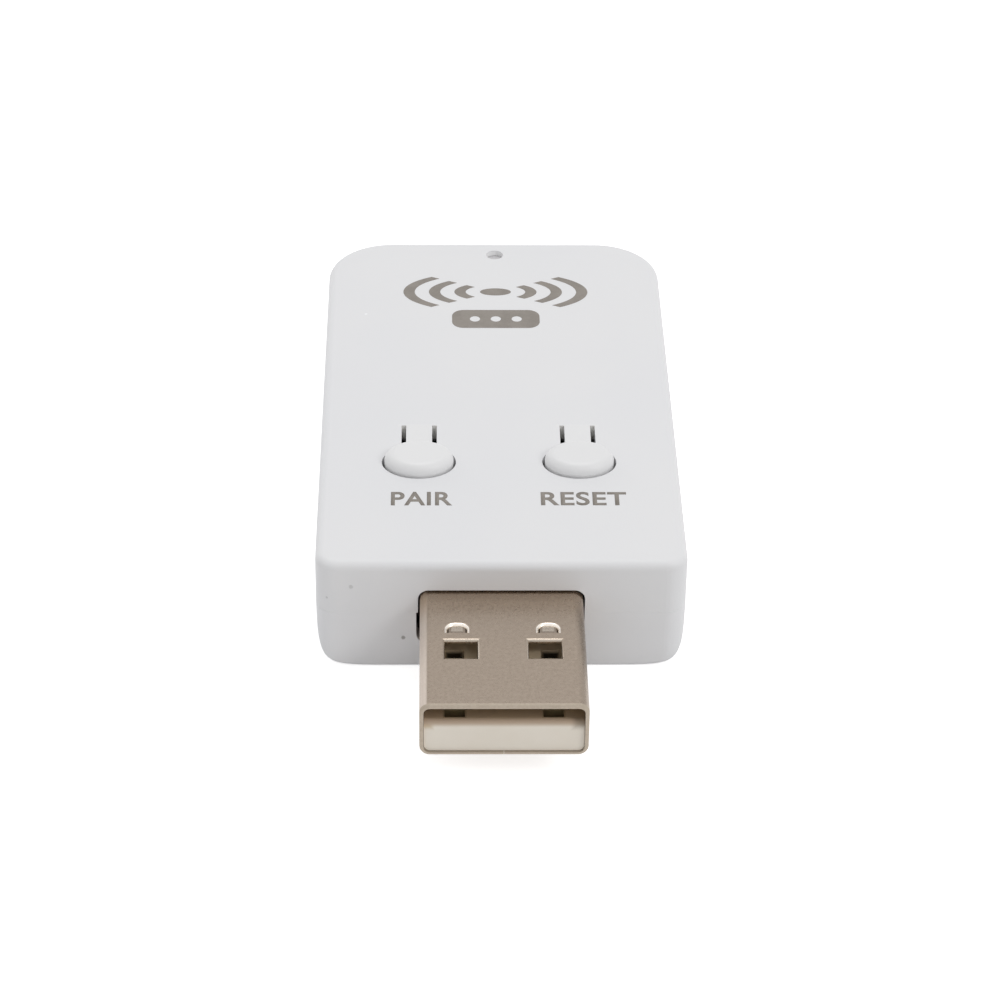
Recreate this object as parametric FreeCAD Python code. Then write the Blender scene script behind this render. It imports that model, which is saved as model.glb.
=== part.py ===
import FreeCAD, Part
import math
import os

os.makedirs("parts", exist_ok=True)

# Wireless gateway on a USB plug, lying on its flat underside, in millimetres.
# X runs across the body, +Y from the plug's tip to the rear, +Z up; the origin is under the middle.

V = FreeCAD.Vector
UP = V(0, 0, 1)

# How far a cutting shape reaches past what it cuts, and how deep one shape is set into another to join it
past = 1.0
overlap = 0.2
near_zero = 1e-6

# Housing
body_length = 46.8
body_width = 27.4
body_height = 9.4
parting_height = 5.0
side_wall = 1.4
top_wall = 1.4
floor_wall = 1.2
front_corner = 1.6
rear_corner = 5.2
top_edge = 0.65
edge_break = 0.012
inner_corner = 0.6
floor_fillet = 1.4

# Lower corner of the housing's section, a curve from the side wall down to the flat underside
underside_inset = 4.8
side_draft = 0.12
curve_reach_down = 0.45
front_break = 0.4

# Lip of the lower shell in the rebate of the cover, and the snap legs
lip_thickness = 0.6
lip_height = 0.8
lip_play = 0.07
leg_thickness = 0.9
leg_width = 3.0
leg_tip_height = 2.3
leg_play = 0.1
hook_depth = 0.45
hook_height = 0.9
hook_slope = 0.54
hook_play = 0.12
front_leg_from_front = 9.5
rear_leg_from_rear = 12.5

# USB plug
plug_reach = 13.5
plug_width = 12.0
plug_height = 4.5
plug_tail = 5.3
plug_centre_height = 4.64
sheet = 0.3
shell_corner = 0.75
mouth_edge_round = 0.25
cut_edge_round = 0.2
tab_edge_round = 0.27
seam_gap = 0.02
opening_play = 0.15
opening_play_wide = 0.28
opening_corner = 0.8
latch_hole_width = 2.35
latch_hole_length = 2.1
latch_hole_from_front = 6.9
latch_hole_spacing = 6.05
tab_width = 1.37
tab_length = 1.0
tab_corner = 0.5
tab_root_from_front = 5.0
tab_spacing = 6.6
tab_dip = 0.12
tab_cut = 0.08
wing_length = 2.4
wing_reach = 1.3
rib_width = 1.0

# Insulator and contacts
insulator_play = 0.02
tongue_setback = 0.22
tongue_top = 0.6
tongue_nose = 0.5
block_from_front = 1.75
insulator_tail = 0.3
contact_width = 1.0
contact_thickness = 0.25
contact_spacing_inner = 2.0
contact_spacing_outer = 7.0
contact_front_outer = 11.3
contact_front_inner = 10.3
contact_rear = 8.9
contact_slope = 0.2
contact_dip = 1.35
front_pocket_outer = 12.7
front_pocket_inner = 11.7
rear_pocket = 5.85
pocket_length = 0.95
pocket_width = 1.45
pocket_depth = 0.9
lead_rise = 0.8
lead_reach = 1.9

# Circuit board
board_thickness = 1.0
board_above_plug_centre = 0.5
board_play = 0.45
notch_play = 0.12
pin_radius = 0.65
pin_hole_play = 0.1
boss_radius = 1.35
boss_gap = 0.1
front_boss_x = 9.6
front_boss_from_front = 4.4
rear_boss_x = 9.0
rear_boss_from_rear = 7.6

# Buttons, each a cap on a springy tongue between two slots
button_spacing = 12.24
button_from_front = 13.4
hole_length_x = 5.66
hole_length_y = 4.56
cap_gap_x = 0.19
cap_gap_y = 0.18
cap_rise = 0.9
cap_edge = 0.75
cap_skirt = 1.2
cap_skin = 0.9
tongue_width = 2.0
tongue_thickness = 0.9
slot_width = 0.36
tongue_root_from_front = 18.48
post_radius = 0.8
post_tip = 0.25
post_gap = 0.05

# Tactile switches
switch_size = 4.6
switch_base_height = 1.3
switch_frame = 0.2
switch_well_radius = 1.7
switch_well_floor = 0.3
flange_radius = 1.5
flange_height = 0.3
plunger_radius = 1.0
plunger_rise = 0.5
plunger_play = 0.08
switch_corner = 0.4
clip_width = 1.6
clip_drop = 0.8
terminal_width = 0.7
terminal_reach = 0.7
terminal_thickness = 0.2

# Status light
light_hole_radius = 0.7
light_x = 0.1
light_from_rear = 2.17
light_play = 0.03
light_recess = 0.45
light_collar_width = 3.0
light_collar_height = 0.5
led_width = 1.6
led_depth = 0.8
led_height = 0.6

# Radio, power and small parts on the board
shield_width = 13.0
shield_length = 14.0
shield_height = 1.8
shield_sheet = 0.2
shield_corner = 0.4
shield_from_rear = 8.6
chip_size = 5.0
chip_height = 0.85
crystal_width = 2.5
crystal_length = 2.0
crystal_height = 0.6
crystal_shift = (-3.6, 3.2)
memory_width = 3.0
memory_length = 4.0
memory_height = 0.75
memory_shift = (2.8, 3.4)
chip_shift = -2.5
antenna_width = 7.0
antenna_length = 2.0
antenna_height = 1.1
antenna_from_rear = 4.3
antenna_from_side = 7.1
regulator_width = 2.9
regulator_length = 1.6
regulator_height = 1.1
inductor_size = 2.5
inductor_height = 1.2
diode_width = 2.0
diode_length = 1.3
diode_height = 0.9
power_from_plug = 4.0
power_pair_step = 3.0
diode_row = 4.0
capacitor_row = 3.5
resistor_row = 7.0
capacitor_width = 1.0
capacitor_length = 1.6
capacitor_height = 0.8
capacitor_row_step = 0.11
capacitor_from_shield = 2.0
resistor_width = 0.8
resistor_length = 1.6
resistor_height = 0.45
resistor_row_step = 0.09

# Places that follow from the sizes above
tip_y = -(body_length + plug_reach) / 2
front_y = tip_y + plug_reach
rear_y = front_y + body_length
half_width = body_width / 2
plug_bottom = plug_centre_height - plug_height / 2
plug_top = plug_centre_height + plug_height / 2
board_top = plug_centre_height + board_above_plug_centre
board_bottom = board_top - board_thickness
board_front_y = front_y + side_wall + board_play
board_rear_y = rear_y - side_wall - board_play
ceiling = body_height - top_wall
button_y = front_y + button_from_front
root_y = front_y + tongue_root_from_front
button_places = {"pair": -button_spacing / 2, "reset": button_spacing / 2}
switch_top = board_top + switch_base_height + switch_frame
plunger_top = switch_top + plunger_rise
light_y = rear_y - light_from_rear
boss_places = [(side * front_boss_x, front_y + front_boss_from_front) for side in (-1, 1)]
boss_places += [(side * rear_boss_x, rear_y - rear_boss_from_rear) for side in (-1, 1)]
leg_places = [front_y + front_leg_from_front, rear_y - rear_leg_from_rear]
radio_y = rear_y - shield_from_rear - shield_length / 2
power_y = front_y + plug_tail + power_from_plug


def box(x0, x1, y0, y1, z0, z1):
    """A block between two corners."""
    return Part.makeBox(x1 - x0, y1 - y0, z1 - z0, V(x0, y0, z0))


def rod(x, y, z0, z1, radius):
    """An upright cylinder."""
    return Part.makeCylinder(radius, z1 - z0, V(x, y, z0))


def block_on(x, y, z, width, length, height):
    """A block standing on height z, centred on x and y."""
    return box(x - width / 2, x + width / 2, y - length / 2, y + length / 2, z, z + height)


def plan_wire(z, side, front, corner_front, corner_rear):
    """The housing's outline seen from above, set in at the sides and rear, and at the front."""
    x = half_width - side
    y0 = front_y + front
    y1 = rear_y - side
    a = corner_front
    b = corner_rear
    d = math.sqrt(0.5)
    edges = [
        Part.LineSegment(V(-x + a, y0, z), V(x - a, y0, z)),
        Part.Arc(V(x - a, y0, z), V(x - a + a * d, y0 + a - a * d, z), V(x, y0 + a, z)),
        Part.LineSegment(V(x, y0 + a, z), V(x, y1 - b, z)),
        Part.Arc(V(x, y1 - b, z), V(x - b + b * d, y1 - b + b * d, z), V(x - b, y1, z)),
        Part.LineSegment(V(x - b, y1, z), V(-x + b, y1, z)),
        Part.Arc(V(-x + b, y1, z), V(-x + b - b * d, y1 - b + b * d, z), V(-x, y1 - b, z)),
        Part.LineSegment(V(-x, y1 - b, z), V(-x, y0 + a, z)),
        Part.Arc(V(-x, y0 + a, z), V(-x + a - a * d, y0 + a - a * d, z), V(-x + a, y0, z)),
    ]
    return Part.Wire([edge.toShape() for edge in edges])


def plan_solid(z0, z1, inset):
    """An upright solid on the outline, set in evenly all round."""
    corner_front = max(front_corner - inset, inner_corner)
    corner_rear = max(rear_corner - inset, inner_corner)
    wire = plan_wire(z0, inset, inset, corner_front, corner_rear)
    return Part.Face(wire).extrude(V(0, 0, z1 - z0))


def eased_layer(z_full, z_edge):
    """The thin layer at the parting plane, where both shells have a hair of an edge break."""
    full = plan_wire(z_full, 0, 0, front_corner, rear_corner)
    eased = plan_wire(z_edge, edge_break, edge_break, front_corner, rear_corner)
    return Part.makeLoft([full, eased], True, True)


def section_face(reach):
    """The housing's section below the parting plane: from its middle out to the side wall, at x = reach."""
    top = parting_height - edge_break
    flat = reach - underside_inset
    curve = Part.BezierCurve()
    curve.setPoles([V(reach, 0, top), V(reach - side_draft, 0, curve_reach_down),
                    V(reach, 0, 0), V(flat, 0, 0)])
    edges = [curve.toShape()]
    corners = [V(flat, 0, 0), V(0, 0, 0), V(0, 0, top), V(reach, 0, top)]
    for start, end in zip(corners, corners[1:]):
        edges.append(Part.LineSegment(start, end).toShape())
    return Part.Face(Part.Wire(edges))


def lower_form():
    """The outside of the lower shell: one section led along the sides and round the rear corners."""
    straight = body_length - rear_corner
    half_side = section_face(half_width).extrude(V(0, straight, 0))
    half_side.translate(V(0, front_y, 0))
    corner = section_face(rear_corner).revolve(V(0, 0, 0), UP, 90)
    corner.translate(V(half_width - rear_corner, rear_y - rear_corner, 0))
    rear = section_face(rear_corner)
    rear.rotate(V(0, 0, 0), UP, 90)
    rear = rear.extrude(V(half_width - rear_corner, 0, 0))
    rear.translate(V(0, rear_y - rear_corner, 0))
    half = half_side.fuse([corner, rear]).removeSplitter()
    form = half.fuse(half.mirror(V(0, 0, 0), V(1, 0, 0))).removeSplitter()
    form = form.common(plan_solid(-past, parting_height + past, 0)).removeSplitter()
    foot = [e for e in form.Edges if e.BoundBox.YMax < front_y + front_corner + near_zero
            and e.BoundBox.ZMax < parting_height / 2 and e.BoundBox.XLength > front_break]
    form = form.makeFillet(front_break, foot)
    return form.fuse(eased_layer(parting_height - edge_break, parting_height)).removeSplitter()


def plug_profile(width, height, corner, y0, y1):
    """A rounded bar along Y, as wide and high as given, round the plug's centre line."""
    bar = box(-width / 2, width / 2, y0, y1, plug_centre_height - height / 2,
              plug_centre_height + height / 2)
    along = [e for e in bar.Edges if abs(e.tangentAt(e.FirstParameter).y) > 0.9]
    return bar.makeFillet(corner, along)


def plug_opening(lower):
    """The opening in the front wall; its lower half is a little wider on the left."""
    reach = side_wall * 2
    height = plug_height + 2 * opening_play
    bar = plug_profile(plug_width + 2 * opening_play, height, opening_corner,
                       front_y - reach, front_y + reach)
    if lower:
        step = opening_play_wide - opening_play
        wide = bar.copy()
        wide.translate(V(-step, 0, 0))
        bar = bar.fuse(wide).removeSplitter()
    return bar


def ellipse_prism(x, y, z0, z1, length_x, length_y):
    """An upright prism on an oval with its long axis across the body."""
    oval = Part.Ellipse(V(x, y, z0), length_x / 2, length_y / 2)
    return Part.Face(Part.Wire([oval.toShape()])).extrude(V(0, 0, z1 - z0))


def make_top_cover():
    """Upper shell: a shallow tray with the button slots, bosses and snap legs."""
    shell = plan_solid(parting_height + edge_break, body_height, 0)
    top = [e for e in shell.Edges if abs(e.BoundBox.ZMin - body_height) < near_zero]
    shell = shell.makeFillet(top_edge, top)
    shell = shell.fuse(eased_layer(parting_height + edge_break, parting_height))
    shell = shell.cut(plan_solid(parting_height, ceiling, side_wall))
    rebate = side_wall - lip_thickness - lip_play
    shell = shell.cut(plan_solid(parting_height, parting_height + lip_height + lip_play, rebate))
    for x, y in boss_places:
        shell = shell.fuse(rod(x, y, board_top + boss_gap, ceiling, boss_radius))
        bore = rod(x, y, board_top, board_top + board_thickness + boss_gap, pin_radius + pin_hole_play)
        shell = shell.cut(bore)
    for side in (-1, 1):
        for y in leg_places:
            shell = shell.fuse(snap_leg(side, y))
    for x in (-plug_width / 4, plug_width / 4):
        rib = box(x - rib_width / 2, x + rib_width / 2, front_y + side_wall, front_y + plug_tail,
                  plug_top + boss_gap, ceiling)
        shell = shell.fuse(rib)
    shell = shell.cut(plug_opening(False))
    for x in button_places.values():
        shell = shell.cut(button_cutout(x))
    shell = shell.cut(rod(light_x, light_y, ceiling - past, body_height + past, light_hole_radius))
    return shell.removeSplitter()


def snap_leg(side, y):
    """One leg that reaches down from the cover, with a hook that springs into the lower shell."""
    outer = half_width - side_wall
    inner = outer - leg_thickness
    leg = box(inner, outer - leg_play, y - leg_width / 2, y + leg_width / 2, leg_tip_height, ceiling)
    root = box(inner, outer, y - leg_width / 2, y + leg_width / 2,
               parting_height + lip_height + lip_play, ceiling)
    z = leg_tip_height
    points = [V(outer - leg_play, y - leg_width / 2, z),
              V(outer - leg_play + hook_depth, y - leg_width / 2, z + hook_slope),
              V(outer - leg_play + hook_depth, y - leg_width / 2, z + hook_height),
              V(outer - leg_play, y - leg_width / 2, z + hook_height)]
    hook = Part.Face(Part.makePolygon(points + points[:1])).extrude(V(0, leg_width, 0))
    leg = leg.fuse([root, hook])
    if side < 0:
        leg = leg.mirror(V(0, 0, 0), V(1, 0, 0))
    return leg


def button_cutout(x):
    """The oval hole and the strip behind it in which the tongue and its two slots lie."""
    low = ceiling - past
    high = body_height + past
    hole = ellipse_prism(x, button_y, low, high, hole_length_x, hole_length_y)
    half = tongue_width / 2 + slot_width
    return hole.fuse(box(x - half, x + half, button_y, root_y, low, high))


def make_bottom_case():
    """Lower shell: a shallow tray with rounded lower edges, the board's bosses and the locating lip."""
    shell = lower_form()
    cavity = plan_solid(floor_wall, parting_height + past, side_wall)
    floor = [e for e in cavity.Edges if abs(e.BoundBox.ZMax - floor_wall) < near_zero]
    shell = shell.cut(cavity.makeFillet(floor_fillet, floor))
    lip_inset = side_wall - lip_thickness
    ring = plan_solid(parting_height - overlap, parting_height + lip_height, lip_inset)
    inside = plan_solid(parting_height - past, parting_height + lip_height + past, side_wall)
    shell = shell.fuse(ring.cut(inside))
    for x, y in boss_places:
        shell = shell.fuse(rod(x, y, floor_wall - overlap, board_bottom, boss_radius))
        shell = shell.fuse(rod(x, y, board_bottom, board_top + board_thickness / 2, pin_radius))
    for x in (-plug_width / 3, plug_width / 3):
        rib = box(x - rib_width / 2, x + rib_width / 2, front_y + side_wall / 2, front_y + plug_tail,
                  floor_wall - overlap, plug_bottom)
        shell = shell.fuse(rib)
    outer = half_width - side_wall
    for side in (-1, 1):
        for y in leg_places:
            half = leg_width / 2 + hook_play
            pocket = box(outer - overlap, outer - leg_play + hook_depth + hook_play, y - half, y + half,
                         leg_tip_height - hook_play, leg_tip_height + hook_height + hook_play)
            if side < 0:
                pocket = pocket.mirror(V(0, 0, 0), V(1, 0, 0))
            shell = shell.cut(pocket)
    return shell.cut(plug_opening(True)).removeSplitter()


def make_button(x):
    """Cap, tongue and post of one button, split from the cover at the tongue's root."""
    length_x = hole_length_x - 2 * cap_gap_x
    length_y = hole_length_y - 2 * cap_gap_y
    skirt_z = body_height - cap_skirt
    crown_z = body_height + cap_rise
    cap = ellipse_prism(x, button_y, skirt_z, crown_z, length_x, length_y)
    rim = [e for e in cap.Edges if abs(e.BoundBox.ZMin - crown_z) < near_zero]
    cap = cap.makeFillet(cap_edge, rim)
    core_top = crown_z - cap_skin
    core = ellipse_prism(x, button_y, skirt_z - past, core_top, length_x - 2 * cap_skin,
                         length_y - 2 * cap_skin)
    tongue = box(x - tongue_width / 2, x + tongue_width / 2, button_y, root_y,
                 body_height - tongue_thickness, body_height)
    post_low = plunger_top + post_gap
    post = rod(x, button_y, post_low, core_top, post_radius)
    tip = [e for e in post.Edges if abs(e.BoundBox.ZMax - post_low) < near_zero]
    post = post.makeFillet(post_tip, tip)
    return cap.fuse(tongue).cut(core).fuse(post).removeSplitter()


def make_usb_shell():
    """Folded sheet sleeve with its latch holes, half-sheared tabs, bottom seam and solder wings."""
    y0 = tip_y
    y1 = front_y + plug_tail
    bar = plug_profile(plug_width, plug_height, shell_corner, y0, y1)
    mouth = [e for e in bar.Edges if e.BoundBox.YMax < y0 + near_zero]
    bar = bar.makeFillet(mouth_edge_round, mouth)
    hole_y = front_y - latch_hole_from_front
    for side in (-1, 1):
        x = side * latch_hole_spacing / 2
        bar = bar.cut(block_on(x, hole_y, 0, latch_hole_width, latch_hole_length, body_height))
        bar = bar.cut(tab_block(side * tab_spacing / 2, 0))
    bar = bar.makeFillet(tab_edge_round, window_edges(bar, True))
    bar = bar.makeFillet(cut_edge_round, window_edges(bar, False))
    sleeve = bar.cut(plug_profile(plug_width - 2 * sheet, plug_height - 2 * sheet,
                                  shell_corner - sheet, y0 - past, y1 + past))
    for side in (-1, 1):
        sleeve = sleeve.fuse(tab_tongue(side * tab_spacing / 2))
    seam = block_on(0, (y0 + y1) / 2, plug_bottom - past, seam_gap, y1 - y0 + 2 * past,
                    past + 2 * sheet)
    sleeve = sleeve.cut(seam)
    wing_y = (board_front_y + y1) / 2
    for side in (-1, 1):
        near = plug_width / 2 - sheet
        far = plug_width / 2 + wing_reach
        wing = block_on(side * (near + far) / 2, wing_y, board_top, far - near, wing_length, sheet)
        sleeve = sleeve.fuse(wing)
    return sleeve.removeSplitter()


def window_edges(bar, of_tabs):
    """The upper edges of the tabs' windows, without the tabs' roots, or of the latch holes."""
    root = front_y - tab_root_from_front
    flat_reach = plug_width / 2 - shell_corner
    edges = []
    for edge in bar.Edges:
        room = edge.BoundBox
        on_top = room.ZMin > plug_top - near_zero
        inside = max(abs(room.XMin), abs(room.XMax)) < flat_reach - near_zero
        behind_root = room.YMax > root + near_zero
        before_root = room.YMax < root - near_zero
        if on_top and inside and (behind_root if of_tabs else before_root):
            edges.append(edge)
    return edges


def tab_block(x, margin):
    """A tall block on a tab's plan, set in by a margin; its free end has two round corners."""
    root = front_y - tab_root_from_front
    end = root + tab_length - margin
    half = tab_width / 2 - margin
    plan = box(x - half, x + half, root, end, plug_top - 4 * sheet, plug_top + 4 * sheet)
    corners = [e for e in plan.Edges if e.BoundBox.YMin > end - near_zero and e.BoundBox.ZLength > sheet]
    return plan.makeFillet(tab_corner - margin, corners)


def tab_tongue(x):
    """The tab itself, sloping inwards from its root to its free end."""
    root = front_y - tab_root_from_front
    end = root + tab_length
    points = [V(x, root - sheet, plug_top), V(x, root, plug_top), V(x, end, plug_top - tab_dip),
              V(x, end, plug_top - tab_dip - sheet), V(x, root, plug_top - sheet),
              V(x, root - sheet, plug_top - sheet)]
    side = Part.Face(Part.makePolygon(points + points[:1]))
    strip = side.extrude(V(tab_width, 0, 0))
    strip.translate(V(-tab_width / 2, 0, 0))
    rooted = block_on(x, root - sheet / 2, plug_top - 2 * sheet, tab_width, sheet, 4 * sheet)
    return strip.common(tab_block(x, tab_cut).fuse(rooted))


def contact_path(front):
    """Side view of a contact: tip bent down into the tongue, blade on top, lead on the board."""
    blade = plug_centre_height + tongue_top - contact_thickness / 2
    low = blade - contact_dip
    lead = board_top + contact_thickness / 2
    tail = front_y + plug_tail
    return [(front_y - front, low), (front_y - front + contact_slope, blade),
            (front_y - contact_rear, blade), (front_y - contact_rear + contact_slope, low),
            (tail - 2 * lead_rise, low), (tail - contact_slope, lead), (tail + lead_reach, lead)]


def make_contact(x, front):
    """One contact, a strip bent along its path."""
    path = contact_path(front)
    upper = []
    lower = []
    for index, (y, z) in enumerate(path):
        before = path[max(index - 1, 0)]
        after = path[min(index + 1, len(path) - 1)]
        slope_in = math.atan2(z - before[1], y - before[0]) if index else None
        slope_out = math.atan2(after[1] - z, after[0] - y) if index < len(path) - 1 else None
        slope_in = slope_out if slope_in is None else slope_in
        slope_out = slope_in if slope_out is None else slope_out
        turn = (slope_out - slope_in) / 2
        angle = (slope_in + slope_out) / 2
        reach = contact_thickness / 2 / math.cos(turn)
        dy = -math.sin(angle) * reach
        dz = math.cos(angle) * reach
        upper.append(V(x - contact_width / 2, y + dy, z + dz))
        lower.append(V(x - contact_width / 2, y - dy, z - dz))
    points = upper + lower[::-1]
    return Part.Face(Part.makePolygon(points + points[:1])).extrude(V(contact_width, 0, 0))


contact_list = [
    ("usb_contact_1", -contact_spacing_outer / 2, contact_front_outer, front_pocket_outer),
    ("usb_contact_2", -contact_spacing_inner / 2, contact_front_inner, front_pocket_inner),
    ("usb_contact_3", contact_spacing_inner / 2, contact_front_inner, front_pocket_inner),
    ("usb_contact_4", contact_spacing_outer / 2, contact_front_outer, front_pocket_outer),
]


def make_insulator(contacts):
    """Moulded tongue and rear block that hold the four contacts in the sleeve."""
    width = plug_width - 2 * sheet - 2 * insulator_play
    low = plug_bottom + sheet + insulator_play
    high = plug_top - sheet - insulator_play
    tongue_z = plug_centre_height + tongue_top
    y0 = tip_y + tongue_setback
    y1 = front_y + plug_tail - insulator_tail
    body = box(-width / 2, width / 2, y0, y1, low, tongue_z)
    lower_corner = shell_corner - sheet
    edges = [e for e in body.Edges if abs(e.BoundBox.ZMax - low) < near_zero and e.BoundBox.YLength > 1]
    body = body.makeFillet(lower_corner, edges)
    nose = [e for e in body.Edges if e.BoundBox.YMax < y0 + near_zero
            and e.BoundBox.ZMin > tongue_z - near_zero]
    body = body.makeFillet(tongue_nose, nose)
    block = box(-width / 2, width / 2, front_y - block_from_front, y1, plug_centre_height, high)
    edges = [e for e in block.Edges if abs(e.BoundBox.ZMin - high) < near_zero and e.BoundBox.YLength > 1]
    body = body.fuse(block.makeFillet(lower_corner, edges))
    for name, x, front, front_pocket in contact_list:
        for y_start in (front_y - front_pocket, front_y - rear_pocket):
            pocket = box(x - pocket_width / 2, x + pocket_width / 2, y_start, y_start + pocket_length,
                         tongue_z - pocket_depth, tongue_z + overlap)
            body = body.cut(pocket)
    for contact in contacts:
        body = body.cut(contact)
    return body.removeSplitter()


def make_board():
    """Bare circuit board, notched for the plug and the snap legs, with holes for the pins."""
    board = plan_solid(board_bottom, board_top, side_wall + board_play)
    half = plug_width / 2 + notch_play
    notch = box(-half, half, board_front_y - past, front_y + plug_tail + notch_play, 0, body_height)
    board = board.cut(notch)
    for x, y in boss_places:
        board = board.cut(rod(x, y, 0, body_height, pin_radius + pin_hole_play))
    inner = half_width - side_wall - leg_thickness - board_play / 2
    for side in (-1, 1):
        for y in leg_places:
            reach = half_width - inner
            notch = block_on(side * (inner + reach / 2), y, 0, reach, leg_width + board_play, body_height)
            board = board.cut(notch)
    return board


def make_switch_base(x):
    """Moulded base of a tactile switch, with the round well that its plunger moves in."""
    base = block_on(x, button_y, board_top, switch_size, switch_size, switch_base_height)
    upright = [e for e in base.Edges if e.BoundBox.ZLength > switch_base_height / 2]
    base = base.makeChamfer(switch_corner, upright)
    well = rod(x, button_y, board_top + switch_well_floor, switch_top, switch_well_radius)
    return base.cut(well)


def make_switch_frame(x):
    """Pressed steel plate that closes the switch, with two clips down its sides."""
    z = board_top + switch_base_height
    plate = block_on(x, button_y, z, switch_size, switch_size, switch_frame)
    upright = [e for e in plate.Edges if abs(e.BoundBox.ZLength - switch_frame) < near_zero]
    plate = plate.makeChamfer(switch_corner, upright)
    for side in (-1, 1):
        y = button_y + side * (switch_size + switch_frame) / 2
        clip = block_on(x, y, z - clip_drop, clip_width, switch_frame, clip_drop + switch_frame)
        plate = plate.fuse(clip)
    plate = plate.cut(rod(x, button_y, z - past, z + past, plunger_radius + plunger_play))
    return plate.removeSplitter()


def make_plunger(x):
    """Plunger of a switch: a flange held under the plate, and a stem that the button's post meets."""
    z = board_top + switch_base_height
    stem = rod(x, button_y, z - flange_height, plunger_top, plunger_radius)
    return stem.fuse(rod(x, button_y, z - flange_height, z, flange_radius)).removeSplitter()


def make_terminals():
    """The four soldered leads of each switch, as separate small solids."""
    leads = []
    for x in button_places.values():
        for side in (-1, 1):
            for y in (button_y - switch_size / 3, button_y + switch_size / 3):
                lead_x = x + side * (switch_size + terminal_reach) / 2
                leads.append(block_on(lead_x, y, board_top, terminal_reach, terminal_width,
                                      terminal_thickness))
    return Part.makeCompound(leads)


def make_light_pipe():
    """Clear rod from the light on the board into the hole, with a collar under the cover."""
    low = board_top + led_height + light_play
    high = body_height - light_recess
    pipe = rod(light_x, light_y, low, high, light_hole_radius - light_play)
    collar_depth = light_from_rear - side_wall - light_play
    collar = block_on(light_x, light_y, ceiling - light_collar_height, light_collar_width,
                      2 * collar_depth, light_collar_height)
    return pipe.fuse(collar).removeSplitter()


def make_shield():
    """Drawn tin lid over the radio parts, open below."""
    lid = block_on(0, radio_y, board_top, shield_width, shield_length, shield_height)
    soft = [e for e in lid.Edges if e.BoundBox.ZMax > board_top + shield_height / 2]
    lid = lid.makeFillet(shield_corner, soft)
    hollow = block_on(0, radio_y, board_top - past, shield_width - 2 * shield_sheet,
                      shield_length - 2 * shield_sheet, shield_height + past - shield_sheet)
    return lid.cut(hollow)


def rows_of(places, width, length, height, under):
    """Like small parts soldered on the board's top or underside, as separate solids."""
    solids = []
    for x, y in places:
        z = board_bottom - height if under else board_top
        solids.append(block_on(x, y, z, width, length, height))
    return Part.makeCompound(solids)


nodes = {}
nodes["top_cover"] = make_top_cover()
nodes["bottom_case"] = make_bottom_case()
for label, button_x in button_places.items():
    nodes[label + "_button"] = make_button(button_x)
    nodes[label + "_switch_base"] = make_switch_base(button_x)
    nodes[label + "_switch_frame"] = make_switch_frame(button_x)
    nodes[label + "_switch_plunger"] = make_plunger(button_x)
nodes["switch_terminals"] = make_terminals()
nodes["usb_shell"] = make_usb_shell()
contact_shapes = []
for name, contact_x, contact_front, pocket_front in contact_list:
    nodes[name] = make_contact(contact_x, contact_front)
    contact_shapes.append(nodes[name])
nodes["usb_insulator"] = make_insulator(contact_shapes)
nodes["circuit_board"] = make_board()
nodes["light_pipe"] = make_light_pipe()
nodes["status_led"] = block_on(light_x, light_y, board_top, led_width, led_depth, led_height)

nodes["radio_shield"] = make_shield()
nodes["radio_chip"] = block_on(0, radio_y + chip_shift, board_top, chip_size, chip_size, chip_height)
nodes["radio_crystal"] = block_on(crystal_shift[0], radio_y + crystal_shift[1], board_top,
                                  crystal_width, crystal_length, crystal_height)
nodes["memory_chip"] = block_on(memory_shift[0], radio_y + memory_shift[1], board_top,
                                memory_width, memory_length, memory_height)
nodes["chip_antenna"] = block_on(antenna_from_side - half_width, rear_y - antenna_from_rear,
                                 board_top, antenna_width, antenna_length, antenna_height)
nodes["voltage_regulator"] = block_on(power_pair_step, power_y, board_bottom - regulator_height,
                                      regulator_width, regulator_length, regulator_height)
nodes["power_inductor"] = block_on(-power_pair_step, power_y, board_bottom - inductor_height,
                                   inductor_size, inductor_size, inductor_height)
nodes["surge_diode"] = block_on(0, power_y + diode_row, board_top, diode_width, diode_length,
                                diode_height)
capacitor_step = capacitor_row_step * body_width
capacitor_places = [(step * capacitor_step, power_y + capacitor_row) for step in (-2, -1, 1, 2)]
capacitor_places += [(side * (shield_width / 2 + capacitor_from_shield), radio_y) for side in (-1, 1)]
nodes["capacitors"] = rows_of(capacitor_places, capacitor_width, capacitor_length,
                              capacitor_height, True)
resistor_step = resistor_row_step * body_width
resistor_places = [(step * resistor_step, power_y + resistor_row) for step in (-2, -1, 1, 2)]
nodes["resistors"] = rows_of(resistor_places, resistor_width, resistor_length, resistor_height, True)

for node_name, shape in nodes.items():
    shape.exportStep("parts/" + node_name + ".step")
    print(node_name, len(shape.Solids), shape.isValid(), round(shape.Volume, 2))
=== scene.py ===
import math

import bmesh
import bpy
from mathutils import Matrix, Vector


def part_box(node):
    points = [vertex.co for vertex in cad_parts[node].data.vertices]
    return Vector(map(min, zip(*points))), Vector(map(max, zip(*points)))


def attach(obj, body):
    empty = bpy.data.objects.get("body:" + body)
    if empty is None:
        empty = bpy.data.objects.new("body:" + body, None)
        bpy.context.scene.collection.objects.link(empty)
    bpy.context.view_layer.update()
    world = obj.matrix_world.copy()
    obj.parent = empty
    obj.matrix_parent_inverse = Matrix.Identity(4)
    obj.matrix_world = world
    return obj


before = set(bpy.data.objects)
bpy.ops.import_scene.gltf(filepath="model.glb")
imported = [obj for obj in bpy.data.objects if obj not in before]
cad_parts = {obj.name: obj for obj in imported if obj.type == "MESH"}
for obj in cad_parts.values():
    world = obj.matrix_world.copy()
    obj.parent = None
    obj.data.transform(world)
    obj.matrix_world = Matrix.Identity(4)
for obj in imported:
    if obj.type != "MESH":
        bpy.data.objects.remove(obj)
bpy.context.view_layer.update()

mm = 0.001

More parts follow.
